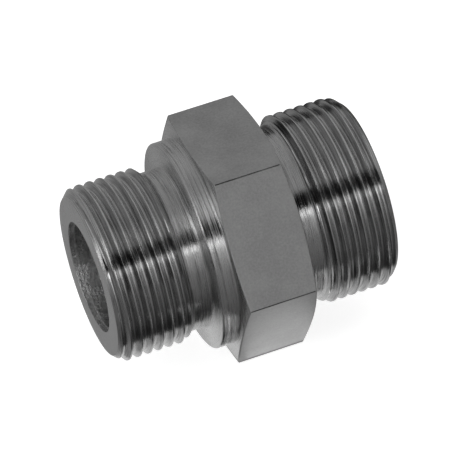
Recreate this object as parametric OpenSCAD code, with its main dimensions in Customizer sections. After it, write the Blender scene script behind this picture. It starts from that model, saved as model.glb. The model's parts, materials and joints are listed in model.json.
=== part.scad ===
// Straight male stud coupling for hydraulic tube, turned and milled from one hexagon steel bar.
// From left to right: stud thread, undercut, round shoulder collar, hexagon, undercut, and the
// larger thread for the union nut over a 24 degree cone seat.
// The axis is X, with the stud towards -X and the origin on the axis in the shoulder face.
// The coupling lies on one flat of its hexagon, as it comes to rest on a bench.

/* [Stud end] */
// Outside diameter of the stud thread
stud_d = 33; // [30:0.5:36]
// Length of the stud from its end face to the shoulder
stud_len = 18.3; // [14:0.1:24]
// Pitch of the stud thread
stud_pitch = 2; // [1.5:0.5:2]
// Angle about the axis at which the stud thread is cut
stud_start = 155; // [0:1:359]
// Leg of the 45 degree chamfer at the end of the stud
stud_chamfer = 1.65; // [1:0.05:2]
// Depth of the undercut behind the stud thread, below the crest of the thread
stud_neck_depth = 1.45; // [1.3:0.05:2.2]
// Width of the undercut behind the stud thread, without its slope
stud_neck_w = 3.7; // [3:0.1:5]
// Slope that leads out of the stud undercut, from a plane square to the axis
stud_neck_slope = 45; // [30:1:60]

/* [Shoulder and hexagon] */
// Diameter of the round shoulder collar
collar_d = 39; // [37:0.5:40.5]
// Width of the round rim of the collar
collar_w = 3.4; // [1:0.1:5]
// Radius that breaks the front edge of the collar
collar_edge = 0.4; // [0.2:0.1:0.8]
// Width of the hexagon across its flats
hex_af = 41; // [41:0.5:46]
// Slope of the turned chamfer behind the collar, from a plane square to the axis
hex_stud_slope = 8.5; // [4:0.5:20]
// Slope of the turned chamfer on the tube side of the hexagon, from a plane square to the axis
hex_tube_slope = 14; // [4:0.5:30]
// Diameter of the flat face on the tube side of the hexagon
hex_face_d = 39; // [37:0.5:41]
// Distance from the shoulder face to the tube-side face of the hexagon
hex_end = 17.75; // [14:0.05:24]

/* [Tube end] */
// Outside diameter of the thread for the union nut
tube_thread_d = 36; // [34:0.5:36.5]
// Pitch of the thread for the union nut
tube_pitch = 2; // [1.5:0.5:2]
// Angle about the axis at which the union-nut thread is cut
tube_start = 242; // [0:1:359]
// Distance from the hexagon's tube-side face to the tube-end face
tube_len = 17.65; // [15:0.05:24]
// Leg of the 45 degree chamfer at the tube end
tube_chamfer = 1.6; // [1:0.05:2]
// Depth of the undercut beside the hexagon, below the crest of the thread
tube_neck_depth = 1.7; // [1.3:0.05:2.2]
// Width of the undercut beside the hexagon, without its slope
tube_neck_w = 3.55; // [3:0.05:5]
// Slope that leads out of the tube-side undercut, from a plane square to the axis
tube_neck_slope = 30; // [20:1:60]

/* [Bore and seat] */
// Diameter of the through bore
bore_d = 20; // [14:0.5:22]
// Width of the step by which the bore opens at the stud face
entry_step = 0.4; // [0.2:0.1:1.2]
// Depth of the opened bore in the stud face
entry_depth = 1; // [0.5:0.1:3]
// Outside diameter of the tube that the socket takes
tube_d = 25; // [23:0.5:26]
// Depth of the tube stop below the tube-end face
tube_stop = 12; // [10:0.5:14]
// Diameter of the cone seat at the tube-end face
cone_mouth_d = 27.9; // [27:0.1:29]
// Full angle of the cone seat
cone_angle = 24; // [20:1:30]

/* [Finish] */
// Fillet at the foot of both undercuts
neck_fillet = 0.8; // [0.4:0.1:1.2]
// Segments in one turn of a thread groove
thread_segments = 36; // [30:2:48]
// Facets of the round surfaces in a preview
round_facets = 144; // [96:8:240]

/* [Hidden] */

// Angle of the flanks of a metric thread from a plane square to the axis
flank_angle = 30;
// Depth of an external metric thread as a share of its pitch
depth_share = 0.6134;
// Width of the groove at the major diameter as a share of the pitch
mouth_share = 7 / 8;
// How far a thread groove reaches past the crest that it cuts
groove_proud = 0.1;
// How far a cutting shape reaches past the face that it opens
past = 0.5;
// Straight steps in one rounded corner of the turned outline
arc_steps = 4;

tube_end = hex_end + tube_len;
stud_neck_r = stud_d / 2 - stud_neck_depth;
tube_neck_r = tube_thread_d / 2 - tube_neck_depth;
hex_corner_r = hex_af / sqrt(3);
socket_r = tube_d / 2;

// Rounded corner of the turned outline, as points of [radius, place along the axis]
function arc(r, along, size, from, to) = [
    for (i = [0:arc_steps])
        let (a = from + (to - from) * i / arc_steps) [r + size * cos(a), along + size * sin(a)]
];

// How far along the axis a fillet runs before it meets a slope
function fillet_run(slope) = neck_fillet * tan((90 - slope) / 2);

// Turned outline of the stud, its undercut and the collar
function stud_outline() = [
    [0, -stud_len],
    [stud_d / 2 - stud_chamfer, -stud_len],
    [stud_d / 2, -stud_len + stud_chamfer],
    [stud_d / 2, -stud_neck_w - stud_neck_depth * tan(stud_neck_slope)],
    each arc(
        stud_neck_r + neck_fillet,
        fillet_run(stud_neck_slope) - stud_neck_w,
        neck_fillet, 270 - stud_neck_slope, 180
    ),
    each arc(stud_neck_r + neck_fillet, -neck_fillet, neck_fillet, 180, 90),
    each arc(collar_d / 2 - collar_edge, collar_edge, collar_edge, -90, 0),
    [collar_d / 2, collar_w],
];

// Turned outline from the hexagon's tube-side face, past its undercut, to the tube end
function tube_outline() = [
    [hex_face_d / 2, hex_end],
    each arc(tube_neck_r + neck_fillet, hex_end + neck_fillet, neck_fillet, 270, 180),
    each arc(
        tube_neck_r + neck_fillet,
        hex_end + tube_neck_w - fillet_run(tube_neck_slope),
        neck_fillet, 180, 90 + tube_neck_slope
    ),
    [tube_thread_d / 2, hex_end + tube_neck_w + tube_neck_depth * tan(tube_neck_slope)],
    [tube_thread_d / 2, tube_end - tube_chamfer],
    [tube_thread_d / 2 - tube_chamfer, tube_end],
    [0, tube_end],
];

// One corner of a thread groove's section, turned through an angle about the axis
function groove_point(r, along, turn) = [r * cos(turn), r * sin(turn), along];

// The four corners of the groove's section at each step along the helix
function groove_points(r, pitch, start, from, to) =
    let (
        depth = depth_share * pitch,
        mouth = mouth_share * pitch / 2,
        top = mouth + groove_proud * tan(flank_angle),
        bottom = mouth - depth * tan(flank_angle),
        steps = ceil((to - from) / pitch * thread_segments)
    )
    [
        for (i = [0:steps])
            let (along = from + (to - from) * i / steps, turn = start + 360 * along / pitch)
                each [
                    groove_point(r + groove_proud, along - top, turn),
                    groove_point(r - depth, along - bottom, turn),
                    groove_point(r - depth, along + bottom, turn),
                    groove_point(r + groove_proud, along + top, turn),
                ]
    ];

// Triangles that join each section to the next, with a cap on both ends
function groove_faces(sections) = [
    [0, 1, 2],
    [0, 2, 3],
    for (i = [0:sections - 2])
        for (k = [0:3])
            let (a = 4 * i + k, b = 4 * i + (k + 1) % 4)
                each [[a, a + 4, b], [b, a + 4, b + 4]],
    let (last = 4 * (sections - 1))
        each [[last, last + 2, last + 1], [last, last + 3, last + 2]],
];

// Right-hand V groove that cuts one thread, between two places along the axis
module thread_groove(major_d, pitch, start, from, to) {
    points = groove_points(major_d / 2, pitch, start, from, to);
    polyhedron(points, groove_faces(len(points) / 4), convexity = 20);
}

// Stud, collar and tube end as they leave the lathe
module turned_blank() {
    rotate_extrude($fn = round_facets) polygon(concat(stud_outline(), tube_outline()));
}

// Hexagon with flats facing up and down, and both ends chamfered by a turned cone
module hexagon_section() {
    outer_r = hex_corner_r + past;
    intersection() {
        translate([0, 0, collar_w])
            rotate([0, 0, 30]) cylinder(r = hex_corner_r, h = hex_end - collar_w, $fn = 6);
        rotate_extrude($fn = round_facets)
            polygon([
                [0, collar_w],
                [collar_d / 2, collar_w],
                [outer_r, collar_w + (outer_r - collar_d / 2) * tan(hex_stud_slope)],
                [outer_r, hex_end - (outer_r - hex_face_d / 2) * tan(hex_tube_slope)],
                [hex_face_d / 2, hex_end],
                [0, hex_end],
            ]);
    }
}

// Through bore opened at the stud face, and the tube socket with its cone seat
module bores() {
    cone_depth = (cone_mouth_d / 2 - socket_r) / tan(cone_angle / 2);
    translate([0, 0, -stud_len - past])
        cylinder(d = bore_d, h = stud_len + tube_end + 2 * past, $fn = round_facets);
    translate([0, 0, -stud_len - past])
        cylinder(d = bore_d + 2 * entry_step, h = entry_depth + past, $fn = round_facets);
    translate([0, 0, tube_end - tube_stop])
        cylinder(r = socket_r, h = tube_stop + past, $fn = round_facets);
    translate([0, 0, tube_end - cone_depth])
        cylinder(
            r1 = socket_r,
            r2 = cone_mouth_d / 2 + past * tan(cone_angle / 2),
            h = cone_depth + past,
            $fn = round_facets
        );
}

module fitting_body() {
    color("silver") rotate([0, 90, 0]) difference() {
        union() {
            turned_blank();
            hexagon_section();
        }
        bores();
        thread_groove(
            stud_d, stud_pitch, stud_start,
            -stud_len - stud_pitch, -stud_neck_w / 2
        );
        thread_groove(
            tube_thread_d, tube_pitch, tube_start,
            hex_end + tube_neck_w / 2, tube_end + tube_pitch
        );
    }
}

fitting_body();
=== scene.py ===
"""A straight male stud coupling for hydraulic tube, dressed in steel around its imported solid."""

import json
import logging
import math
from dataclasses import dataclass, field
from enum import Enum
from functools import partial

import bpy
import numpy as np
from mathutils import Matrix, Vector


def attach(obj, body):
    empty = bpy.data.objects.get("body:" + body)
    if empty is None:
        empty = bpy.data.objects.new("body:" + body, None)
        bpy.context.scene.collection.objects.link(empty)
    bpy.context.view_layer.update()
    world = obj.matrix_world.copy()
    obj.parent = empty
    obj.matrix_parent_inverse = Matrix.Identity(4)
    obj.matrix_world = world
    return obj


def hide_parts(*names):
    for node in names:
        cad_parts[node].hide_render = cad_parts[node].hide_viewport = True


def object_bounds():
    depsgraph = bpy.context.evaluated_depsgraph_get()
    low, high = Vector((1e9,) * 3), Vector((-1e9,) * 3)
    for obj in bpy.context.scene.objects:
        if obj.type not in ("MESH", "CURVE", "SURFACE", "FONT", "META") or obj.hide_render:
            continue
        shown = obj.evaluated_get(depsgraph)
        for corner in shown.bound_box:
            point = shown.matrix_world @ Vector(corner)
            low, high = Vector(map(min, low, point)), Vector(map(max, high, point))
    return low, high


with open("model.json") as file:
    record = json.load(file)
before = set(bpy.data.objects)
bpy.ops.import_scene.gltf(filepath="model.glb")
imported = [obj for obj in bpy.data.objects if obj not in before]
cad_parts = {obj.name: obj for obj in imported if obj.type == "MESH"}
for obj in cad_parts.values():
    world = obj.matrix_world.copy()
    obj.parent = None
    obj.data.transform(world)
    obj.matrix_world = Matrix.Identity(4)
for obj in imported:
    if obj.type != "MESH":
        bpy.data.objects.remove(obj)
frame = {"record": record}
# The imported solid's box, in which the dressed model stays
CAD_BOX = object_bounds()

LOG = logging.getLogger("coupling")
MM = 0.001
TURN = 2 * math.pi

# A point of a turned outline: its place along the axis and its radius, in millimetres
ProfilePoint = tuple[float, float]
# A point in the studio, in metres
Place = tuple[float, float, float]
Socket = bpy.types.NodeSocket
# What a shader node takes: another node's socket or a plain number
Value = Socket | float

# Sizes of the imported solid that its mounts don't state, in millimetres and degrees
THREAD_PITCH = 2.0
STUD_START = 155.0
TUBE_START = 242.0
TUBE_LENGTH = 17.65
TUBE_FACE_R = 19.5
TUBE_STOP_DEPTH = 12.0
SEAT_OPENING = 1.45
SEAT_HALF_ANGLE = 12.0
BORE_STEP_DEPTH = 1.0
BORE_STEP_W = 0.4

# Edges that turn by more than this stay sharp, in degrees
SHARP_FROM = 50.0
# Half the width of the texture space, in metres
TEXTURE_REACH = 0.05

# The room's directions: up and towards the camera, both square to the part's axis, and
# the way the stud points
OVER = (0.0, 0.6287, 0.7776)
FRONT = (0.0, -0.7776, 0.6287)
STUDWARD = (-1.0, 0.0, 0.0)


class Surface(Enum):
    """The machined surfaces of the coupling, in the order of its material slots."""

    TURNED = 0
    STUD_SIDE_FLANK = 1
    TUBE_SIDE_FLANK = 2
    FACE = 3
    FLAT = 4
    CORNER = 5
    BORE = 6


@dataclass(frozen=True)
class Corner:
    """One corner of a turned outline.

    Attributes:
        x: Place along the axis, in millimetres from the shoulder face.
        r: Distance from the axis, in millimetres.
        round_mm: Radius that rounds the corner, or 0 for a sharp one.
    """

    x: float
    r: float
    round_mm: float = 0.0


@dataclass(frozen=True)
class Outline:
    """A turned outline with rounded corners.

    Attributes:
        corners: The corners in order.
        arc_steps: Straight steps in each rounded corner.
    """

    corners: tuple[Corner, ...]
    arc_steps: int = 5

    def points(self) -> list[ProfilePoint]:
        """Works out the outline with its arcs.

        Returns:
            The points as (place along the axis, radius), in millimetres.
        """
        found: list[ProfilePoint] = []
        last = len(self.corners) - 1
        for index, corner in enumerate(self.corners):
            if corner.round_mm <= 0 or index in (0, last):
                found.append((corner.x, corner.r))
                continue
            found.extend(self._arc(self.corners[index - 1], corner, self.corners[index + 1]))
        return found

    def _arc(self, before: Corner, corner: Corner, after: Corner) -> list[ProfilePoint]:
        """Rounds one corner.

        Args:
            before: The corner that comes before it.
            corner: The corner to round.
            after: The corner that comes after it.

        Returns:
            The points of the arc.
        """
        here = Vector((corner.x, corner.r))
        back = Vector((before.x, before.r)) - here
        ahead = Vector((after.x, after.r)) - here
        half = back.angle(ahead) / 2
        reach = min(corner.round_mm / math.tan(half), 0.45 * back.length, 0.45 * ahead.length)
        size = reach * math.tan(half)
        towards = (back.normalized() + ahead.normalized()).normalized()
        middle = here + towards * (size / math.sin(half))
        start = here + back.normalized() * reach - middle
        end = here + ahead.normalized() * reach - middle
        sweep = start.angle_signed(end)
        turned = []
        for step in range(self.arc_steps + 1):
            spoke = Matrix.Rotation(-sweep * step / self.arc_steps, 2) @ start
            turned.append((middle.x + spoke.x, middle.y + spoke.y))
        return turned


@dataclass(frozen=True)
class ThreadForm:
    """The section and lead of one metric external thread, in millimetres and degrees.

    Attributes:
        major_r: Crest radius.
        pitch: Distance from one turn to the next.
        start_deg: Angle about the axis at which the groove crosses the shoulder face's plane.
        flank_deg: Angle of a flank from a plane square to the axis.
        mouth_share: Half the groove's width at the crest as a share of the pitch.
        root_share: Root radius as a share of the pitch.
        root_zone: Height of the root that keeps the turned finish.
        crest_break: Radius that breaks the crest's edges.
        broken_edge: Points of a crest's broken edge, as shares of that radius: how far past
            the mouth of the groove, and how far below the crest.
        root_rows: Rows of the mesh on half a root.
        flank_rows: Rows of the mesh on a flank.
    """

    major_r: float
    pitch: float
    start_deg: float
    flank_deg: float = 30.0
    mouth_share: float = 7 / 16
    root_share: float = 0.1443
    root_zone: float = 0.1
    crest_break: float = 0.07
    broken_edge: tuple[ProfilePoint, ...] = ((-0.45, 0.79), (-0.15, 0.36), (0.3, 0.09))
    root_rows: int = 4
    flank_rows: int = 6

    @property
    def root_drop(self) -> float:
        """Works out how far the root lies below the crest.

        Returns:
            The drop, in millimetres.
        """
        flank = math.radians(self.flank_deg)
        root = self.root_share * self.pitch
        return self.mouth_share * self.pitch / math.tan(flank) - root / math.sin(flank) + root

    def section(self) -> list[ProfilePoint]:
        """Works out the groove's section.

        Returns:
            Half a pitch of the section, as (distance from the groove's middle, drop below
            the crest).
        """
        root = self.root_share * self.pitch
        half_mouth = self.mouth_share * self.pitch
        centre_drop = self.root_drop - root
        points = []
        for angle in np.linspace(0, 90 - self.flank_deg, self.root_rows):
            turn = math.radians(angle)
            points.append((root * math.sin(turn), centre_drop + root * math.cos(turn)))
        run, drop = points[-1]
        for share in np.linspace(0, 1, self.flank_rows + 2)[1:-1]:
            points.append((run + (half_mouth - run) * share, drop * (1 - share)))
        for past, below in self.broken_edge:
            points.append((half_mouth + past * self.crest_break, below * self.crest_break))
        points.append((self.pitch / 2, 0.0))
        return points

    def offsets(self) -> np.ndarray:
        """Gives the places of the rows along one pitch, from the groove's middle."""
        runs = [run for run, _ in self.section()]
        return np.array([-run for run in reversed(runs[1:-1])] + runs)

    def drop(self, x: np.ndarray, turn: np.ndarray) -> np.ndarray:
        """Works out how far the thread lies below its crest.

        Args:
            x: Places along the axis, in millimetres.
            turn: Angles about the axis, in radians.

        Returns:
            The drop at each place, in millimetres.
        """
        section = self.section()
        along = x - self.pitch * (turn / TURN - self.start_deg / 360)
        from_middle = np.abs((along / self.pitch + 0.5) % 1.0 - 0.5) * self.pitch
        return np.interp(from_middle, [run for run, _ in section], [drop for _, drop in section])

    def surface(self, depth: float, faces_stud: bool) -> Surface:
        """Tells which surface a face of the thread belongs to.

        Args:
            depth: How far the face lies below the blank, in millimetres.
            faces_stud: Whether it lies on the side of the groove that looks to the stud's end.

        Returns:
            The surface.
        """
        if not self.crest_break < depth < self.root_drop - self.root_zone:
            return Surface.TURNED
        return Surface.STUD_SIDE_FLANK if faces_stud else Surface.TUBE_SIDE_FLANK


@dataclass
class LatheMesh:
    """A mesh that grows row by row along the outline of a turned part.

    Attributes:
        turns: Angles about the axis at which each row has a point, in radians.
        end_gap: How near a blank's end a row of a thread joins the end row, in millimetres.
    """

    turns: np.ndarray
    end_gap: float = 0.01
    _points: list[np.ndarray] = field(default_factory=list)
    _faces: list[tuple[int, ...]] = field(default_factory=list)
    _surfaces: list[int] = field(default_factory=list)
    _count: int = 0

    def row(self, x: np.ndarray | float, r: np.ndarray | float) -> np.ndarray:
        """Adds one closed row of points.

        Args:
            x: Place along the axis at each angle, in millimetres.
            r: Radius at each angle, in millimetres.

        Returns:
            The index of each point.
        """
        x_all = np.broadcast_to(x, self.turns.shape)
        r_all = np.broadcast_to(r, self.turns.shape)
        points = np.stack([x_all, r_all * np.sin(self.turns), -r_all * np.cos(self.turns)], axis=-1)
        self._points.append(points * MM)
        first = self._count
        self._count += len(points)
        return np.arange(first, self._count)

    def band(self, low: np.ndarray, high: np.ndarray, surface: Surface) -> None:
        """Joins two rows with faces that look outwards.

        Args:
            low: The row that comes first along the outline.
            high: The row that comes next.
            surface: The surface that the faces belong to.
        """
        self.mixed_band(low, high, [surface] * len(low))

    def mixed_band(self, low: np.ndarray, high: np.ndarray, surfaces: list[Surface]) -> None:
        """Joins two rows with faces that belong to different surfaces.

        Args:
            low: The row that comes first along the outline.
            high: The row that comes next.
            surfaces: The surface of each face around the axis.
        """
        after_low, after_high = np.roll(low, -1), np.roll(high, -1)
        quads = zip(low.tolist(), after_low.tolist(), after_high.tolist(), high.tolist())
        for quad, surface in zip(quads, surfaces):
            self._face(quad, surface)

    def outline(
        self, start: np.ndarray, points: list[ProfilePoint], surface: Surface
    ) -> np.ndarray:
        """Turns a stretch of outline.

        Args:
            start: The row that the stretch begins at.
            points: The rest of the outline's points.
            surface: The surface that the stretch belongs to.

        Returns:
            The stretch's last row.
        """
        for x, r in points:
            row = self.row(x, r)
            self.band(start, row, surface)
            start = row
        return start

    def thread(
        self, start: np.ndarray, form: ThreadForm, blank: list[ProfilePoint], blend: float
    ) -> np.ndarray:
        """Turns a stretch of outline that carries a thread, with rows that follow the helix.

        Args:
            start: The row at the blank's first point.
            form: The thread.
            blank: The outline before the thread is cut, with x rising throughout.
            blend: How softly the thread runs out into the blank, in millimetres.

        Returns:
            The last row, at the blank's last point.
        """
        x_low, x_high = blank[0][0], blank[-1][0]
        blank_x = [x for x, _ in blank]
        blank_r = [r for _, r in blank]
        offsets = form.offsets()
        per_pitch = len(offsets)
        phase = -form.pitch * form.start_deg / 360
        first = math.floor((x_low - form.pitch - phase) / form.pitch) - 1
        last = math.ceil((x_high - phase) / form.pitch) + 1
        rows_u = np.concatenate(
            [phase + form.pitch * turn + offsets for turn in range(first, last + 1)]
        )
        lead = form.pitch * self.turns / TURN
        keep = (rows_u + form.pitch > x_low) & (rows_u < x_high)
        low_index = max(int(np.argmax(keep)) - 1, 0)
        high_index = len(rows_u) - int(np.argmax(keep[::-1]))
        rows_u = rows_u[low_index : high_index + 1]
        faces_stud = (rows_u - phase) % form.pitch < form.pitch / 2
        end = self.row(x_high, blank_r[-1])
        table: list[np.ndarray] = []
        threaded: list[np.ndarray] = []
        for u in rows_u:
            x = u + lead
            before = x <= x_low + self.end_gap
            inside = ~before & (x < x_high - self.end_gap)
            x = np.clip(x, x_low, x_high)
            cut = form.major_r - form.drop(x, self.turns)
            bare = np.interp(x, blank_x, blank_r)
            r = soft_min(cut, bare, blend)
            row = self.row(x, r)
            row = np.where(inside, row, np.where(before, start, end))
            table.append(row)
            threaded.append(bare - cut)
        count = len(table)
        for index in range(count - 1):
            low, high = table[index], table[index + 1]
            after_low, after_high = np.roll(low, -1), np.roll(high, -1)
            after_low[-1] = table[min(index + per_pitch, count - 1)][0]
            after_high[-1] = table[min(index + 1 + per_pitch, count - 1)][0]
            quads = zip(low.tolist(), after_low.tolist(), after_high.tolist(), high.tolist())
            depths = np.maximum(threaded[index], threaded[index + 1])
            for quad, depth in zip(quads, depths.tolist()):
                self._face(quad, form.surface(depth, bool(faces_stud[index])))
        LOG.info("thread of pitch %.2f: %d rows", form.pitch, count)
        return end

    def build(self, name: str, materials: list[bpy.types.Material]) -> bpy.types.Object:
        """Makes the object.

        Args:
            name: The object's name.
            materials: One material for each surface, in order.

        Returns:
            The object, linked to the scene.
        """
        points = np.concatenate(self._points)
        used = sorted({index for face in self._faces for index in face})
        renumber = np.full(len(points), -1)
        renumber[used] = np.arange(len(used))
        faces = [tuple(renumber[list(face)].tolist()) for face in self._faces]
        mesh = bpy.data.meshes.new(name)
        mesh.from_pydata(points[used].tolist(), [], faces)
        mesh.polygons.foreach_set("material_index", self._surfaces)
        mesh.polygons.foreach_set("use_smooth", [True] * len(faces))
        for material in materials:
            mesh.materials.append(material)
        mesh.update()
        made = bpy.data.objects.new(name, mesh)
        bpy.context.scene.collection.objects.link(made)
        return made

    def _face(self, corners: tuple[int, ...], surface: Surface) -> None:
        """Adds a face, without the corners that fell together.

        Args:
            corners: The points that it joins.
            surface: The surface that it belongs to.
        """
        distinct = tuple(dict.fromkeys(corners))
        if len(distinct) > 2:
            self._faces.append(distinct)
            self._surfaces.append(surface.value)


def soft_min(a: np.ndarray, b: np.ndarray, width: float) -> np.ndarray:
    """Takes the smaller of two radii, with a rounded change-over.

    Args:
        a: The first radius.
        b: The second radius.
        width: How far the rounding reaches, in millimetres.

    Returns:
        The smaller radius at each place.
    """
    overlap = np.maximum(width - np.abs(a - b), 0) / width
    return np.minimum(a, b) - overlap**2 * width / 4


@dataclass(frozen=True)
class Hexagon:
    """The hexagon with its turned chamfers, in millimetres and degrees.

    Attributes:
        across_flats: Width across two opposite flats.
        low: Where the chamfer meets the collar, as (place along the axis, radius).
        high: Where the chamfer meets the tube-side face, as (place along the axis, radius).
        low_slope: Slope of the chamfer behind the collar, from a plane square to the axis.
        high_slope: Slope of the chamfer on the tube side, from a plane square to the axis.
        corner_round: Radius on the six corners of the bar.
        corner_deg: Angle to either side of a corner that takes the corner's much darker grey.
        edge_round: Radius where a flat meets a chamfer.
        edge_rows: Rows of the mesh on that radius.
        low_shares: Rows on the chamfer behind the collar, as shares of its width.
        wall_shares: Rows on the flats, as shares of their length.
        high_shares: Rows on the chamfer on the tube side, as shares of its width.
    """

    across_flats: float
    low: ProfilePoint
    high: ProfilePoint
    low_slope: float = 8.5
    high_slope: float = 14.0
    corner_round: float = 0.28
    corner_deg: float = 0.31
    edge_round: float = 0.16
    edge_rows: int = 5
    low_shares: tuple[float, ...] = (0.3, 0.6, 0.9)
    wall_shares: tuple[float, ...] = (0.012, 0.04, 0.35, 0.65, 0.96, 0.988)
    high_shares: tuple[float, ...] = (0.9, 0.5, 0.08)

    @staticmethod
    def turns() -> np.ndarray:
        """Spaces a row's points: close together at the corners, even between them.

        Returns:
            The angles about the axis, in radians.
        """
        near_corner = [0.12, 0.3, 0.6, 1.3]
        to_middle = np.linspace(near_corner[-1], 30, 12)[1:]
        side = near_corner + list(to_middle)
        sector = [-angle for angle in reversed(side[:-1])] + [0.0] + side
        degrees = [(30 + 60 * corner + angle) % 360 for corner in range(6) for angle in sector]
        return np.radians(np.sort(degrees))

    def wall_r(self, turns: np.ndarray) -> np.ndarray:
        """Works out the distance of the six flats from the axis.

        Args:
            turns: Angles about the axis, in radians.

        Returns:
            The radius at each angle, with the corners rounded.
        """
        flat_r = self.across_flats / 2
        from_corner = np.abs(np.degrees(turns) % 60 - 30)
        centre = (flat_r - self.corner_round) / math.cos(math.pi / 6)
        tangent = math.degrees(
            math.atan2(self.corner_round / 2, centre + self.corner_round * math.cos(math.pi / 6))
        )
        angle = np.radians(np.minimum(from_corner, tangent))
        rounded = centre * np.cos(angle) + np.sqrt(
            self.corner_round**2 - (centre * np.sin(angle)) ** 2
        )
        flat = flat_r / np.cos(np.radians(30 - from_corner))
        return np.where(from_corner < tangent, rounded, flat)

    def skin(self, turns: np.ndarray) -> list[Surface]:
        """Tells which faces of a row lie on the rounded corners of the bar.

        Args:
            turns: Angles about the axis, in radians.

        Returns:
            The surface of the face that follows each angle.
        """
        middle = np.degrees(turns + (np.roll(turns, -1) - turns) % TURN / 2)
        at_corner = np.abs(middle % 60 - 30) < self.corner_deg
        return [Surface.CORNER if corner else Surface.FLAT for corner in at_corner]

    def mill(self, mesh: LatheMesh, start: np.ndarray) -> np.ndarray:
        """Adds the hexagon to the mesh.

        Args:
            mesh: The mesh to add to.
            start: The row where the chamfer meets the collar.

        Returns:
            The row where the other chamfer meets the tube-side face.
        """
        wall = self.wall_r(mesh.turns)
        skin = self.skin(mesh.turns)
        low_tan = math.tan(math.radians(self.low_slope))
        high_tan = math.tan(math.radians(self.high_slope))
        low_edge = self.low[0] + (wall - self.low[1]) * low_tan
        high_edge = self.high[0] - (wall - self.high[1]) * high_tan
        turned = [Surface.TURNED] * len(skin)
        low_reach = self.edge_round * math.tan(math.radians(90 - self.low_slope) / 2)
        high_reach = self.edge_round * math.tan(math.radians(90 - self.high_slope) / 2)

        for share in self.low_shares:
            r = self.low[1] + (wall - low_reach - self.low[1]) * share
            start = self._join(mesh, start, self.low[0] + (r - self.low[1]) * low_tan, r, turned)
        for angle in np.linspace(self.low_slope - 90, 0, self.edge_rows):
            start = self._edge(mesh, start, low_edge + low_reach, wall, angle)
        span = high_edge - high_reach - low_edge - low_reach
        for share in self.wall_shares:
            start = self._join(mesh, start, low_edge + low_reach + span * share, wall, skin)
        for angle in np.linspace(0, 90 - self.high_slope, self.edge_rows):
            start = self._edge(mesh, start, high_edge - high_reach, wall, angle)
        for share in self.high_shares:
            r = self.high[1] + (wall - high_reach - self.high[1]) * share
            start = self._join(mesh, start, self.high[0] - (r - self.high[1]) * high_tan, r, turned)
        return self._join(mesh, start, self.high[0], self.high[1], turned)

    def _edge(
        self,
        mesh: LatheMesh,
        start: np.ndarray,
        along: np.ndarray,
        wall: np.ndarray,
        angle: float,
    ) -> np.ndarray:
        """Adds one row of the rounding between a flat and a chamfer.

        Args:
            mesh: The mesh to add to.
            start: The row before.
            along: Where the flats end, along the axis.
            wall: The radius of the flats at each angle.
            angle: How far the rounding has turned there, in degrees.

        Returns:
            The row.
        """
        turn = math.radians(angle)
        x = along + self.edge_round * math.sin(turn)
        r = wall - self.edge_round + self.edge_round * math.cos(turn)
        return self._join(mesh, start, x, r, [Surface.FLAT] * len(wall))

    @staticmethod
    def _join(
        mesh: LatheMesh,
        start: np.ndarray,
        x: np.ndarray | float,
        r: np.ndarray | float,
        surfaces: list[Surface],
    ) -> np.ndarray:
        """Adds a row and joins it to the one before.

        Args:
            mesh: The mesh to add to.
            start: The row before.
            x: Place along the axis at each angle.
            r: Radius at each angle.
            surfaces: The surface of each face around the axis.

        Returns:
            The row.
        """
        row = mesh.row(x, r)
        mesh.mixed_band(start, row, surfaces)
        return row


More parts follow.
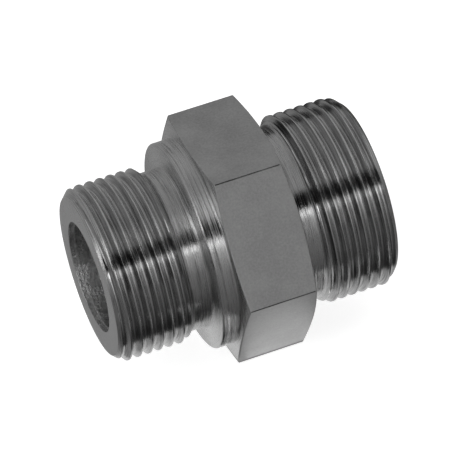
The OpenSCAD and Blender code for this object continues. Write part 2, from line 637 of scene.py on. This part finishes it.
@dataclass(frozen=True)
class StudEnd:
    """The threaded stud, its undercut and the shoulder collar, in millimetres.

    Attributes:
        thread: The stud thread.
        end_x: The stud's end face.
        mouth_r: Radius of the opened bore in the end face.
        mouth_depth: Depth of the opened bore.
        mouth_round: Radius on the edge of the bore's mouth.
        chamfer: Leg of the chamfer at the end face.
        face_round: Radius where the end face meets the chamfer.
        crest_round: Radius at both ends of the thread's crest.
        run_out: How softly the thread runs out.
        neck_depth: Depth of the undercut below the crest.
        neck_w: Width of the undercut without its slope.
        neck_end: Where the thread's rows end in the undercut, as a share of its width.
        fillet: Radius at the foot of the undercut.
        collar_r: Radius of the collar.
        collar_w: Width of the collar's rim.
        collar_edge: Radius on the collar's front edge.
        foot_round: Radius where the rim meets the hexagon's chamfer.
        score_place: Where the rim is scored, as a share of its width.
        score_w: Half the width of the score.
        score_depth: Depth of the score.
    """

    thread: ThreadForm
    end_x: float
    mouth_r: float
    mouth_depth: float
    mouth_round: float = 0.1
    chamfer: float = 1.65
    face_round: float = 0.15
    crest_round: float = 0.12
    run_out: float = 0.05
    neck_depth: float = 1.45
    neck_w: float = 3.7
    neck_end: float = 0.6
    fillet: float = 0.8
    collar_r: float = 19.5
    collar_w: float = 3.4
    collar_edge: float = 0.4
    foot_round: float = 0.2
    score_place: float = 0.44
    score_w: float = 0.09
    score_depth: float = 0.02

    def turn(self, mesh: LatheMesh, start: np.ndarray) -> np.ndarray:
        """Adds the stud to the mesh.

        Args:
            mesh: The mesh to add to.
            start: The row at the step inside the bore's mouth.

        Returns:
            The row where the collar meets the hexagon.
        """
        crest = self.thread.major_r
        neck_r = crest - self.neck_depth
        neck_end = -self.neck_w * self.neck_end
        face = Outline(
            (
                Corner(self.end_x + self.mouth_depth, self.mouth_r),
                Corner(self.end_x, self.mouth_r, self.mouth_round),
                Corner(self.end_x, crest - self.chamfer, self.face_round),
                Corner(self.end_x + self.chamfer, crest),
            )
        ).points()
        start = mesh.outline(start, face[1:2], Surface.BORE)
        start = mesh.outline(start, face[2:-1], Surface.FACE)
        blank = Outline(
            (
                Corner(*face[-2]),
                Corner(self.end_x + self.chamfer, crest, self.crest_round),
                Corner(-self.neck_w - self.neck_depth, crest, self.crest_round),
                Corner(-self.neck_w, neck_r, self.fillet),
                Corner(neck_end, neck_r),
            )
        ).points()
        start = mesh.thread(start, self.thread, blank, self.run_out)
        collar = Outline(
            (
                Corner(neck_end, neck_r),
                Corner(0, neck_r, self.fillet),
                Corner(0, self.collar_r, self.collar_edge),
                Corner(self.collar_w, self.collar_r),
            )
        ).points()
        score = self.collar_w * self.score_place
        rim = [
            (score - self.score_w, self.collar_r),
            (score, self.collar_r - self.score_depth),
            (score + self.score_w, self.collar_r),
        ]
        foot = Outline(
            (
                Corner(*rim[-1]),
                Corner(self.collar_w, self.collar_r, self.foot_round),
                Corner(self.collar_w, self.collar_r + 1),
            )
        ).points()
        return mesh.outline(start, collar[1:-1] + rim + foot[1:-1], Surface.TURNED)


@dataclass(frozen=True)
class TubeEnd:
    """The undercut, the union-nut thread and the tube-end face, in millimetres.

    Attributes:
        thread: The union-nut thread.
        face_x: The hexagon's tube-side face.
        end_x: The tube-end face.
        mouth_r: Radius of the cone seat in the end face.
        face_ring: Width of the ring of faces around the hexagon's tube-side face.
        chamfer: Leg of the chamfer at the end face.
        chamfer_end: How far below the end face the thread's rows end.
        face_round: Radius on both edges of the end face, and where the thread meets the chamfer.
        crest_round: Radius where the undercut's slope meets the crest.
        run_out: How softly the thread runs out.
        neck_depth: Depth of the undercut below the crest.
        neck_w: Width of the undercut without its slope.
        neck_start: Where the thread's rows start in the undercut, as a share of its width.
        neck_slope: Slope out of the undercut, from a plane square to the axis.
        fillet: Radius at the foot of the undercut.
    """

    thread: ThreadForm
    face_x: float
    end_x: float
    mouth_r: float
    face_ring: float = 0.15
    chamfer: float = 1.6
    chamfer_end: float = 0.1
    face_round: float = 0.12
    crest_round: float = 0.1
    run_out: float = 0.05
    neck_depth: float = 1.7
    neck_w: float = 3.55
    neck_start: float = 0.45
    neck_slope: float = 30.0
    fillet: float = 0.8

    def turn(self, mesh: LatheMesh, start: np.ndarray, start_r: float) -> np.ndarray:
        """Adds the tube end to the mesh.

        Args:
            mesh: The mesh to add to.
            start: The outer row of the hexagon's tube-side face.
            start_r: The radius of that row.

        Returns:
            The row just inside the rim of the cone seat.
        """
        crest = self.thread.major_r
        neck_r = crest - self.neck_depth
        wall_x = self.face_x + self.neck_w
        slope_w = self.neck_depth * math.tan(math.radians(self.neck_slope))
        neck_start = self.face_x + self.neck_w * self.neck_start
        face = Outline(
            (
                Corner(self.face_x, start_r),
                Corner(self.face_x, neck_r, self.fillet),
                Corner(neck_start, neck_r),
            )
        ).points()
        ring = [(self.face_x, start_r - self.face_ring)]
        start = mesh.outline(start, ring + face[1:], Surface.TURNED)
        blank = Outline(
            (
                Corner(neck_start, neck_r),
                Corner(wall_x, neck_r, self.fillet),
                Corner(wall_x + slope_w, crest, self.crest_round),
                Corner(self.end_x - self.chamfer, crest, self.face_round),
                Corner(self.end_x - self.chamfer_end, crest - self.chamfer + self.chamfer_end),
            )
        ).points()
        start = mesh.thread(start, self.thread, blank, self.run_out)
        inside = 2.0
        inside_r = self.mouth_r - inside * math.tan(math.radians(SEAT_HALF_ANGLE))
        rim = Outline(
            (
                Corner(*blank[-1]),
                Corner(self.end_x, crest - self.chamfer, self.face_round),
                Corner(self.end_x, self.mouth_r, self.face_round),
                Corner(self.end_x - inside, inside_r),
            )
        ).points()
        return mesh.outline(start, rim[1:-1], Surface.FACE)


@dataclass(frozen=True)
class BoreAndSeat:
    """The cone seat, the tube socket and the through bore, in millimetres.

    Attributes:
        bore_r: Radius of the through bore.
        socket_r: Radius of the tube socket.
        mouth_r: Radius of the cone seat in the end face.
        end_x: The tube-end face.
        stop_x: The tube stop.
        step_x: The step inside the bore's mouth at the stud face.
        step_r: Radius of the opened bore there.
        seat_round: Radius where the cone seat meets the socket.
        socket_round: Radius at the foot of the socket.
        stop_round: Radius on the edge of the tube stop.
        step_round: Radius on the edge of the step.
        step_lead: How far from the step the bore's even rows end.
        wall_rows: Rows along the wall of the bore.
    """

    bore_r: float
    socket_r: float
    mouth_r: float
    end_x: float
    stop_x: float
    step_x: float
    step_r: float
    seat_round: float = 0.3
    socket_round: float = 0.2
    stop_round: float = 0.15
    step_round: float = 0.06
    step_lead: float = 0.15
    wall_rows: int = 12

    def turn(self, mesh: LatheMesh, start: np.ndarray, end: np.ndarray) -> None:
        """Adds the bore to the mesh.

        Args:
            mesh: The mesh to add to.
            start: The row just inside the rim of the cone seat.
            end: The row at the step inside the bore's mouth, where the outline closes.
        """
        seat_depth = (self.mouth_r - self.socket_r) / math.tan(math.radians(SEAT_HALF_ANGLE))
        seat = Outline(
            (
                Corner(self.end_x, self.mouth_r),
                Corner(self.end_x - seat_depth, self.socket_r, self.seat_round),
                Corner(self.stop_x, self.socket_r, self.socket_round),
                Corner(self.stop_x, self.bore_r, self.stop_round),
                Corner(self.step_x, self.bore_r),
            )
        ).points()
        start = mesh.outline(start, seat[1:-1], Surface.BORE)
        wall_end = self.step_x + self.step_lead
        along = np.linspace(seat[-2][0], wall_end, self.wall_rows)[1:]
        walls = [(x, self.bore_r) for x in along]
        step = Outline(
            (
                Corner(wall_end, self.bore_r),
                Corner(self.step_x, self.bore_r, self.step_round),
                Corner(self.step_x, self.step_r),
            ),
            arc_steps=2,
        ).points()
        start = mesh.outline(start, walls + step[1:-1], Surface.BORE)
        mesh.band(start, end, Surface.BORE)


@dataclass
class ShaderGraph:
    """A node tree, with short ways to add and join its nodes.

    Attributes:
        owner: The material or world that the tree belongs to.
    """

    owner: bpy.types.Material | bpy.types.World

    def __post_init__(self) -> None:
        """Clears the node tree."""
        self.owner.use_nodes = True
        self.tree = self.owner.node_tree
        self.tree.nodes.clear()

    @classmethod
    def material(cls, name: str) -> "ShaderGraph":
        """Starts a new material with that name."""
        return cls(bpy.data.materials.new(name))

    def add(self, kind: str, **settings: str) -> bpy.types.Node:
        """Adds a node.

        Args:
            kind: The node's type.
            settings: Properties of the node to set.

        Returns:
            The node.
        """
        node = self.tree.nodes.new(kind)
        for key, value in settings.items():
            setattr(node, key, value)
        return node

    def join(self, source: Socket, target: Socket) -> None:
        """Links an output socket to an input socket."""
        self.tree.links.new(source, target)

    def math(self, operation: str, first: Value, second: Value | None = None) -> Socket:
        """Adds a Math node.

        Args:
            operation: What it works out.
            first: A socket or a number.
            second: A socket, a number or nothing.

        Returns:
            The node's output socket.
        """
        node = self.add("ShaderNodeMath", operation=operation)
        for slot, value in enumerate((first, second)):
            if value is None:
                continue
            if isinstance(value, (int, float)):
                node.inputs[slot].default_value = value
            else:
                self.join(value, node.inputs[slot])
        return node.outputs[0]

    def noise(
        self, vector: Socket, scale: float, detail: float, roughness: float = 0.5
    ) -> Socket:
        """Adds a Noise Texture.

        Args:
            vector: The socket that gives the place.
            scale: How many waves to a unit of the place.
            detail: Number of finer layers.
            roughness: Strength of the finer layers.

        Returns:
            The socket of its value.
        """
        node = self.add("ShaderNodeTexNoise")
        node.inputs["Scale"].default_value = scale
        node.inputs["Detail"].default_value = detail
        node.inputs["Roughness"].default_value = roughness
        self.join(vector, node.inputs["Vector"])
        return node.outputs[0]

    def spread(
        self, value: Socket, low: float, high: float, to_low: float, to_high: float
    ) -> Socket:
        """Maps a range of a socket onto another, with both ends held.

        Args:
            value: The socket.
            low: Start of its range.
            high: End of its range.
            to_low: What the start becomes.
            to_high: What the end becomes.

        Returns:
            The mapped socket.
        """
        node = self.add("ShaderNodeMapRange")
        for slot, number in zip(range(1, 5), (low, high, to_low, to_high)):
            node.inputs[slot].default_value = number
        self.join(value, node.inputs[0])
        return node.outputs[0]

    def lathe_place(self, around: float) -> Socket:
        """Gives the place on the lathe: along the axis, off the axis and around it.

        Args:
            around: Millimetres that one radian around the axis counts as.

        Returns:
            A vector socket in millimetres, in which a tool line is a straight line.
        """
        place = self.add("ShaderNodeTexCoord").outputs["Object"]
        split = self.add("ShaderNodeSeparateXYZ")
        self.join(place, split.inputs[0])
        x, y, z = split.outputs
        squares = self.math("ADD", self.math("MULTIPLY", y, y), self.math("MULTIPLY", z, z))
        off = self.math("SQRT", squares)
        turn = self.math("ARCTAN2", y, z)
        merged = self.add("ShaderNodeCombineXYZ")
        self.join(self.math("MULTIPLY", x, 1 / MM), merged.inputs[0])
        self.join(self.math("MULTIPLY", off, 1 / MM), merged.inputs[1])
        self.join(self.math("MULTIPLY", turn, around), merged.inputs[2])
        return merged.outputs[0]

    def finish(
        self,
        color: Socket,
        roughness: Socket,
        height: Socket,
        bump: float,
        anisotropy: float,
    ) -> bpy.types.Material:
        """Adds the metal shader.

        Args:
            color: Socket of the metal's grey.
            roughness: Socket of its roughness.
            height: Socket of its surface height, in millimetres.
            bump: Strength of the height.
            anisotropy: How much the tool lines stretch a highlight.

        Returns:
            The material.
        """
        shader = self.add("ShaderNodeBsdfPrincipled")
        shader.inputs["Metallic"].default_value = 1.0
        shader.inputs["Anisotropic"].default_value = anisotropy
        shader.inputs["Anisotropic Rotation"].default_value = 0.25
        grey = self.add("ShaderNodeCombineColor")
        for channel in grey.inputs:
            self.join(color, channel)
        self.join(grey.outputs[0], shader.inputs["Base Color"])
        self.join(roughness, shader.inputs["Roughness"])
        if anisotropy:
            tangent = self.add("ShaderNodeTangent", direction_type="RADIAL", axis="X")
            self.join(tangent.outputs[0], shader.inputs["Tangent"])
        raised = self.add("ShaderNodeBump")
        raised.inputs["Strength"].default_value = bump
        raised.inputs["Distance"].default_value = MM
        self.join(height, raised.inputs["Height"])
        self.join(raised.outputs[0], shader.inputs["Normal"])
        return self.show(shader)

    def show(self, shader: bpy.types.Node) -> bpy.types.Material:
        """Ends the tree with a shader.

        Args:
            shader: The node whose first output covers the surface.

        Returns:
            The material.
        """
        output = self.add("ShaderNodeOutputMaterial")
        self.join(shader.outputs[0], output.inputs["Surface"])
        return self.owner


@dataclass(frozen=True)
class LatheSteel:
    """Bare steel with the fine lines that a turning tool leaves.

    Attributes:
        name: The material's name.
        grey: Reflectance of the clean metal.
        roughness: Roughness of the clean metal.
        streaks: How much the roughness changes from one tool line to the next.
        line_depth: Height of the tool lines, in millimetres.
        anisotropy: How much the tool lines stretch a highlight.
    """

    name: str
    grey: float = 0.42
    roughness: float = 0.27
    streaks: float = 0.21
    line_depth: float = 0.12
    anisotropy: float = 0.95

    def build(self) -> bpy.types.Material:
        """Makes the material.

        Returns:
            The material.
        """
        graph = ShaderGraph.material(self.name)
        place = graph.lathe_place(around=0.35)
        fine = graph.noise(place, scale=3.4, detail=3.0, roughness=0.7)
        coarse = graph.noise(place, scale=1.1, detail=2.0)
        patches = graph.noise(graph.lathe_place(around=9.0), scale=0.45, detail=4.0)
        height = graph.math("MULTIPLY", graph.math("ADD", fine, coarse), self.line_depth)
        lines = graph.spread(fine, 0.3, 0.7, to_low=-0.18, to_high=0.15)
        marks = graph.spread(patches, 0.35, 0.7, to_low=-0.03, to_high=0.03)
        tone = graph.math("ADD", graph.math("ADD", lines, self.grey), marks)
        smooth, dull = self.roughness - self.streaks, self.roughness + self.streaks
        streaks = graph.spread(fine, 0.32, 0.68, to_low=smooth, to_high=dull)
        worn = graph.spread(patches, 0.35, 0.7, to_low=-0.02, to_high=0.05)
        rough = graph.math("ADD", worn, streaks)
        return graph.finish(tone, rough, height, 1.0, self.anisotropy)


@dataclass(frozen=True)
class BarSteel:
    """The matte, finely pitted skin of the hexagon's flats.

    Attributes:
        name: The material's name.
        grey: Reflectance of the clean metal.
        roughness: Roughness of the clean metal.
        grain_depth: Height of the grain, in millimetres.
    """

    name: str
    grey: float = 0.35
    roughness: float = 0.58
    grain_depth: float = 0.009

    def build(self) -> bpy.types.Material:
        """Makes the material.

        Returns:
            The material.
        """
        graph = ShaderGraph.material(self.name)
        place = graph.add("ShaderNodeTexCoord").outputs["Object"]
        grain = graph.noise(place, scale=2.6 / MM, detail=3.0, roughness=0.65)
        clouds = graph.noise(place, scale=0.16 / MM, detail=4.0)
        specks = graph.spread(grain, 0.3, 0.7, to_low=-0.035, to_high=0.035)
        shades = graph.spread(clouds, 0.35, 0.7, to_low=-0.04, to_high=0.04)
        tone = graph.math("ADD", graph.math("ADD", specks, self.grey), shades)
        worn = graph.spread(clouds, 0.3, 0.7, to_low=-0.04, to_high=0.04)
        rough = graph.math("ADD", worn, self.roughness)
        height = graph.math("MULTIPLY", grain, self.grain_depth)
        return graph.finish(tone, rough, height, 1.0, 0.0)


@dataclass(frozen=True)
class DrilledSteel:
    """The coarse wall that a drill leaves in the bore.

    Attributes:
        name: The material's name.
        grey: Reflectance of the clean metal.
        roughness: Roughness of the clean metal.
        score_depth: Height of the drill's scores, in millimetres.
    """

    name: str
    grey: float = 0.42
    roughness: float = 0.28
    score_depth: float = 0.2

    def build(self) -> bpy.types.Material:
        """Makes the material.

        Returns:
            The material.
        """
        graph = ShaderGraph.material(self.name)
        scores = graph.noise(
            graph.lathe_place(around=6.0), scale=2.4, detail=4.0, roughness=0.7
        )
        stains = graph.noise(
            graph.lathe_place(around=9.0), scale=0.5, detail=5.0, roughness=0.6
        )
        lines = graph.spread(scores, 0.3, 0.7, to_low=-0.14, to_high=0.14)
        shades = graph.spread(stains, 0.35, 0.65, to_low=-0.16, to_high=0.1)
        tone = graph.math("ADD", graph.math("ADD", lines, self.grey), shades)
        worn = graph.spread(stains, 0.3, 0.7, to_low=0.1, to_high=-0.1)
        rough = graph.math("ADD", worn, self.roughness)
        height = graph.math("MULTIPLY", scores, self.score_depth)
        return graph.finish(tone, rough, height, 1.0, 0.0)


@dataclass(frozen=True)
class PhotoView:
    """The camera, fitted to the photograph's outlines, in millimetres and degrees.

    Attributes:
        azimuth: Direction of the camera around the object, from straight in front.
        elevation: Height of the camera above the level.
        roll: Turn of the camera about its own view.
        distance: Distance from the point that it looks at.
        aim: That point.
        focal: Focal length.
        shift: Sideways and upward shift of the picture, as shares of its width.
        sensor_width: Width of the sensor.
        clip: The nearest and the farthest that it sees, in metres.
    """

    azimuth: float = -16.285
    elevation: float = 37.812
    roll: float = -7.851
    distance: float = 699.13
    aim: tuple[float, float, float] = (8.0, 0.0, 0.0)
    focal: float = 302.5
    shift: tuple[float, float] = (0.01147, 0.00924)
    sensor_width: float = 36.0
    clip: tuple[float, float] = (0.01, 20.0)

    def place(self) -> bpy.types.Object:
        """Adds the camera and makes it the scene's.

        Returns:
            The camera.
        """
        az, el, roll = (math.radians(a) for a in (self.azimuth, self.elevation, self.roll))
        back = Vector((math.sin(az) * math.cos(el), -math.cos(az) * math.cos(el), math.sin(el)))
        level = (-back).cross(Vector((0, 0, 1))).normalized()
        rise = level.cross(-back)
        right = level * math.cos(roll) + rise * math.sin(roll)
        up = rise * math.cos(roll) - level * math.sin(roll)
        data = bpy.data.cameras.new("photo_view")
        data.sensor_width = self.sensor_width
        data.lens = self.focal
        data.shift_x, data.shift_y = self.shift
        data.clip_start, data.clip_end = self.clip
        camera = bpy.data.objects.new("photo_view", data)
        bpy.context.scene.collection.objects.link(camera)
        turned = Matrix((right, up, back)).transposed().to_4x4()
        stand = (Vector(self.aim) + back * self.distance) * MM
        camera.matrix_world = Matrix.Translation(stand) @ turned
        bpy.context.scene.camera = camera
        return camera


class RoomBand(Enum):
    """The room's bands around the part's axis: the angle above the camera, and the light."""

    BACK = (-180.0, 0.37)
    FRONT = (-39.0, 0.44)
    FRONT_RISE = (-24.0, 0.84)
    FRONT_TOP = (-12.0, 1.2)
    STRIP = (-10.0, 2.95)
    STRIP_TOP = (-3.6, 2.95)
    LENS_GAP = (-2.5, 0.016)
    LENS_GAP_TOP = (18.5, 0.016)
    PANEL = (23.0, 0.52)
    PANEL_MIDDLE = (60.0, 0.45)
    PANEL_TOP = (110.0, 0.52)
    BACK_TOP = (180.0, 0.37)


@dataclass(frozen=True)
class Card:
    """A studio card that shows in the steel alone, in metres.

    Attributes:
        name: The card's name.
        corners: Its corners.
        light: Its light beside the object.
        far_light: Its light at the horizon in front, where that differs.
        near_y: How far in front of the axis the light starts to change.
    """

    name: str
    corners: tuple[Place, ...]
    light: float
    far_light: float | None = None
    near_y: float = 0.02

    def build(self) -> None:
        """Adds the card."""
        made = flat_piece(self.name, self.corners)
        graph = ShaderGraph.material(self.name)
        glow = graph.add("ShaderNodeEmission")
        if self.far_light is None:
            glow.inputs["Strength"].default_value = self.light
        else:
            split = graph.add("ShaderNodeSeparateXYZ")
            graph.join(graph.add("ShaderNodeTexCoord").outputs["Object"], split.inputs[0])
            steepness = graph.math("DIVIDE", -self.near_y, split.outputs[1])
            faded = graph.spread(steepness, 0.0, 0.95, self.far_light, self.light)
            graph.join(faded, glow.inputs["Strength"])
        made.data.materials.append(graph.show(glow))
        made.visible_camera = False
        made.visible_diffuse = False
        made.visible_shadow = False


def flat_piece(name: str, corners: tuple[Place, ...]) -> bpy.types.Object:
    """Adds a flat piece of the stage.

    Args:
        name: The piece's name.
        corners: Its corners, in metres.

    Returns:
        The object.
    """
    mesh = bpy.data.meshes.new(name)
    mesh.from_pydata(corners, [], [tuple(range(len(corners)))])
    made = bpy.data.objects.new(name, mesh)
    bpy.context.scene.collection.objects.link(made)
    return made


@dataclass(frozen=True)
class Studio:
    """The pale floor and the soft light around the object, in metres.

    Attributes:
        floor_z: Height of the floor.
        reach: Half the floor's width.
        floor_grey: Colour of the floor.
        floor_glow: What the floor adds to stay pale where it shows.
        split_y: Where the cards in front of the object meet the one behind it.
        grey_lift: Height over the floor of the cards in front and behind.
        dark_lift: Height over the floor of the dark cards at both ends.
        pale_lift: Height over the floor of the pale card under the object.
        bright_lift: Height over the floor of the bright card under the hexagon.
        side_light: Light that the room adds towards the stud's end.
    """

    floor_z: float
    reach: float = 6.0
    floor_grey: float = 0.8
    floor_glow: float = 0.76
    split_y: float = -0.0118
    grey_lift: float = 0.0004
    dark_lift: float = 0.0005
    pale_lift: float = 0.0006
    bright_lift: float = 0.0008
    side_light: float = 2.9

    def build(self) -> None:
        """Adds the floor, its cards and the light."""
        reach = self.reach
        floor = flat_piece("floor", self._lying((-reach, reach, -reach, reach), 0.0))
        floor.data.materials.append(self._floor_material())
        for card in self._cards():
            card.build()
        self._light_room()

    def _lying(self, span: tuple[float, float, float, float], lift: float) -> tuple[Place, ...]:
        """Gives the corners of a rectangle that lies over the floor.

        Args:
            span: Its ends along X and along Y.
            lift: Its height over the floor.

        Returns:
            The corners.
        """
        west, east, south, north = span
        z = self.floor_z + lift
        return ((west, south, z), (east, south, z), (east, north, z), (west, north, z))

    def _cards(self) -> list[Card]:
        """Lists the cards: dark in front, grey behind, pale under the object and a low board.

        Returns:
            The cards.
        """
        reach, split = self.reach, self.split_y
        dark_z = self.floor_z + self.dark_lift
        pale_z = self.floor_z + self.pale_lift
        pale_mm = (
            (-18.5, -14.0),
            (-2.0, -14.0),
            (-0.3, -11.2),
            (2.6, -11.2),
            (3.6, -16.6),
            (6.4, -16.6),
            (9.0, -20.5),
            (9.0, -28.0),
            (18.5, -28.0),
            (19.5, -20.5),
            (20.0, -11.5),
            (24.6, -11.5),
            (25.6, -15.1),
            (41.0, -15.1),
            (41.0, 16.0),
            (-18.5, 16.0),
        )
        front = self._lying((-reach, reach, -reach, split), self.grey_lift)
        back = self._lying((-reach, reach, split, reach), self.grey_lift)
        pale = tuple((x * MM, y * MM, pale_z) for x, y in pale_mm)
        bright = self._lying((0.0055, 0.0205, -0.029, -0.010), self.bright_lift)
        stud_side = (
            (-0.06, split, dark_z),
            (-reach, split, dark_z),
            (-reach, -reach, dark_z),
        )
        tube_side = (
            (0.048, split, dark_z),
            (reach, split, dark_z),
            (reach, -reach, dark_z),
            (0.2, -0.22, dark_z),
            (0.062, -0.045, dark_z),
        )
        west, east, board_y, board_top = 0.018, 0.140, 0.060, 0.034
        board = (
            (west, board_y, self.floor_z),
            (east, board_y, self.floor_z),
            (east, board_y, board_top),
            (west, board_y, board_top),
        )
        return [
            Card("front_card", front, light=0.06, far_light=0.36),
            Card("back_card", back, light=0.37),
            Card("pale_card", pale, light=0.8),
            Card("bright_card", bright, light=1.25),
            Card("stud_card", stud_side, light=0.04),
            Card("tube_card", tube_side, light=0.04),
            Card("low_board", board, light=0.05),
        ]

    def _floor_material(self) -> bpy.types.Material:
        """Makes the pale floor, which stays white where it is seen and still takes a shadow.

        Returns:
            The material.
        """
        graph = ShaderGraph.material("pale_floor")
        matte = graph.add("ShaderNodeBsdfDiffuse")
        matte.inputs["Color"].default_value = (self.floor_grey,) * 3 + (1.0,)
        path = graph.add("ShaderNodeLightPath")
        seen = graph.math("MAXIMUM", path.outputs["Is Camera Ray"], path.outputs["Is Glossy Ray"])
        seen = graph.math("MAXIMUM", seen, path.outputs["Is Transmission Ray"])
        glow = graph.add("ShaderNodeEmission")
        graph.join(graph.math("MULTIPLY", seen, self.floor_glow), glow.inputs["Strength"])
        both = graph.add("ShaderNodeAddShader")
        graph.join(matte.outputs[0], both.inputs[0])
        graph.join(glow.outputs[0], both.inputs[1])
        return graph.show(both)

    def _light_room(self) -> None:
        """Lights the room in bands around the object's axis, from the camera's direction."""
        world = bpy.data.worlds.new("studio")
        bpy.context.scene.world = world
        graph = ShaderGraph(world)
        towards = graph.add("ShaderNodeTexCoord").outputs["Generated"]
        over, front, side = (
            self._along(graph, towards, axis) for axis in (OVER, FRONT, STUDWARD)
        )
        angle = graph.math("ARCTAN2", over, front)
        ramp = graph.add("ShaderNodeValToRGB")
        stops = ramp.color_ramp.elements
        for index, band in enumerate(RoomBand):
            degrees, light = band.value
            place = degrees / 360 + 0.5
            stop = stops[index] if index < 2 else stops.new(place)
            stop.position = place
            stop.color = (light, light, light, 1.0)
        graph.join(graph.spread(angle, -math.pi, math.pi, 0.0, 1.0), ramp.inputs[0])
        # Over the camera and towards the stud's end, a light that edges and fillets catch
        above = graph.spread(angle, 0.16, 0.36, to_low=0.0, to_high=1.0)
        below_top = graph.spread(angle, 0.65, 1.15, to_low=1.0, to_high=0.0)
        studward = graph.spread(side, 0.5, 0.78, to_low=0.0, to_high=self.side_light)
        side_light = graph.math("MULTIPLY", graph.math("MULTIPLY", above, below_top), studward)
        # Level with the camera and under it, both ends of the room are darker
        low = graph.spread(angle, -0.1, 0.4, to_low=1.0, to_high=0.0)
        stud_end = graph.spread(side, 0.3, 0.7, to_low=0.0, to_high=0.6)
        tube_end = graph.spread(side, -0.55, -0.3, to_low=0.96, to_high=0.0)
        ends = graph.math("ADD", stud_end, tube_end)
        shade = graph.math("SUBTRACT", 1.0, graph.math("MULTIPLY", low, ends))
        bands = graph.math("MULTIPLY", ramp.outputs[0], shade)
        # Over the camera, the tube's end of the room is lighter
        tubeward = graph.spread(side, -0.55, -0.35, to_low=0.4, to_high=0.0)
        high = graph.spread(angle, 0.4, 0.6, to_low=0.0, to_high=1.0)
        lift = graph.math("MULTIPLY", tubeward, high)
        bands = graph.math("MULTIPLY", bands, graph.math("ADD", 1.0, lift))
        background = graph.add("ShaderNodeBackground")
        graph.join(graph.math("ADD", bands, side_light), background.inputs["Strength"])
        background.inputs["Color"].default_value = (1.0, 1.0, 1.0, 1.0)
        output = graph.add("ShaderNodeOutputWorld")
        graph.join(background.outputs[0], output.inputs["Surface"])

    @staticmethod
    def _along(graph: ShaderGraph, towards: Socket, axis: Place) -> Socket:
        """Measures a direction along an axis.

        Args:
            graph: The graph that the node joins.
            towards: The direction.
            axis: The axis, one unit long.

        Returns:
            The direction's share along the axis.
        """
        dot = graph.add("ShaderNodeVectorMath", operation="DOT_PRODUCT")
        graph.join(towards, dot.inputs[0])
        dot.inputs[1].default_value = axis
        return dot.outputs["Value"]


@dataclass(frozen=True)
class Coupling:
    """The whole coupling, one solid piece of steel.

    Attributes:
        stud: The threaded stud and the collar.
        hexagon: The hexagon.
        tube: The end for the union nut.
        bore: The bore, the tube socket and the cone seat.
    """

    stud: StudEnd
    hexagon: Hexagon
    tube: TubeEnd
    bore: BoreAndSeat

    @classmethod
    def from_frame(cls) -> "Coupling":
        """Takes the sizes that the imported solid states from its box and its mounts.

        Returns:
            The coupling.
        """
        dims = {mount["name"]: mount["dims"] for mount in frame["record"]["mounts"]}
        low, high = (Vector(corner) / MM for corner in CAD_BOX)
        bore_r = dims["flow_bore"]["r_mm"]
        socket_r = dims["tube_socket"]["r_mm"]
        stud_thread = ThreadForm(dims["stud_thread"]["r_mm"], THREAD_PITCH, STUD_START)
        tube_thread = ThreadForm(dims["tube_thread"]["r_mm"], THREAD_PITCH, TUBE_START)
        step_r = bore_r + BORE_STEP_W
        mouth_r = socket_r + SEAT_OPENING
        face_x = high.x - TUBE_LENGTH
        stud = StudEnd(stud_thread, low.x, step_r, BORE_STEP_DEPTH)
        hexagon = Hexagon(
            across_flats=2 * high.z,
            low=(stud.collar_w, stud.collar_r),
            high=(face_x, TUBE_FACE_R),
        )
        tube = TubeEnd(tube_thread, face_x, high.x, mouth_r)
        bore = BoreAndSeat(
            bore_r=bore_r,
            socket_r=socket_r,
            mouth_r=mouth_r,
            end_x=high.x,
            stop_x=high.x - TUBE_STOP_DEPTH,
            step_x=low.x + BORE_STEP_DEPTH,
            step_r=step_r,
        )
        return cls(stud, hexagon, tube, bore)

    def build(self) -> bpy.types.Object:
        """Turns and mills the coupling, and dresses it.

        Returns:
            The object.
        """
        mesh = LatheMesh(Hexagon.turns())
        first = mesh.row(self.bore.step_x, self.bore.step_r)
        row = self.stud.turn(mesh, first)
        row = self.hexagon.mill(mesh, row)
        row = self.tube.turn(mesh, row, self.hexagon.high[1])
        self.bore.turn(mesh, row, first)
        # The stud-side flank's dark grey is painted shade and the tube-side flank's light grey is
        # painted light: both greys are fitted to how the flanks look in this studio's light. They
        # aren't measured on steel, and don't stand for a coating
        flank = partial(LatheSteel, roughness=0.17, streaks=0.06, line_depth=0.03)
        finishes = [
            LatheSteel("turned_steel").build(),
            flank("stud_side_flank", grey=0.29).build(),
            flank("tube_side_flank", grey=0.66).build(),
            BarSteel("faced_steel", grey=0.4, roughness=0.28, grain_depth=0.015).build(),
            BarSteel("bar_steel").build(),
            # The bar's six rounded corners take a much darker grey than its flats
            BarSteel("bar_corner", grey=0.1, roughness=0.5).build(),
            DrilledSteel("bored_steel").build(),
        ]
        made = mesh.build("coupling_body", finishes)
        # The tool lines run around the middle of the texture space, so it is put on the axis
        made.data.use_auto_texspace = False
        made.data.texspace_location = (0.0, 0.0, 0.0)
        made.data.texspace_size = (TEXTURE_REACH, TEXTURE_REACH, TEXTURE_REACH)
        made.data.set_sharp_from_angle(angle=math.radians(SHARP_FROM))
        LOG.info("%s: %d faces", made.name, len(made.data.polygons))
        return made


def main() -> None:
    """Builds the coupling, the studio and the camera."""
    logging.basicConfig(level=logging.INFO, format="%(message)s")
    PhotoView().place()
    coupling = Coupling.from_frame().build()
    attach(coupling, "root")
    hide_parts("fitting_body")
    Studio(floor_z=CAD_BOX[0].z).build()
    scene = bpy.context.scene
    scene.view_settings.view_transform = "Standard"


if __name__ == "__main__":
    main()
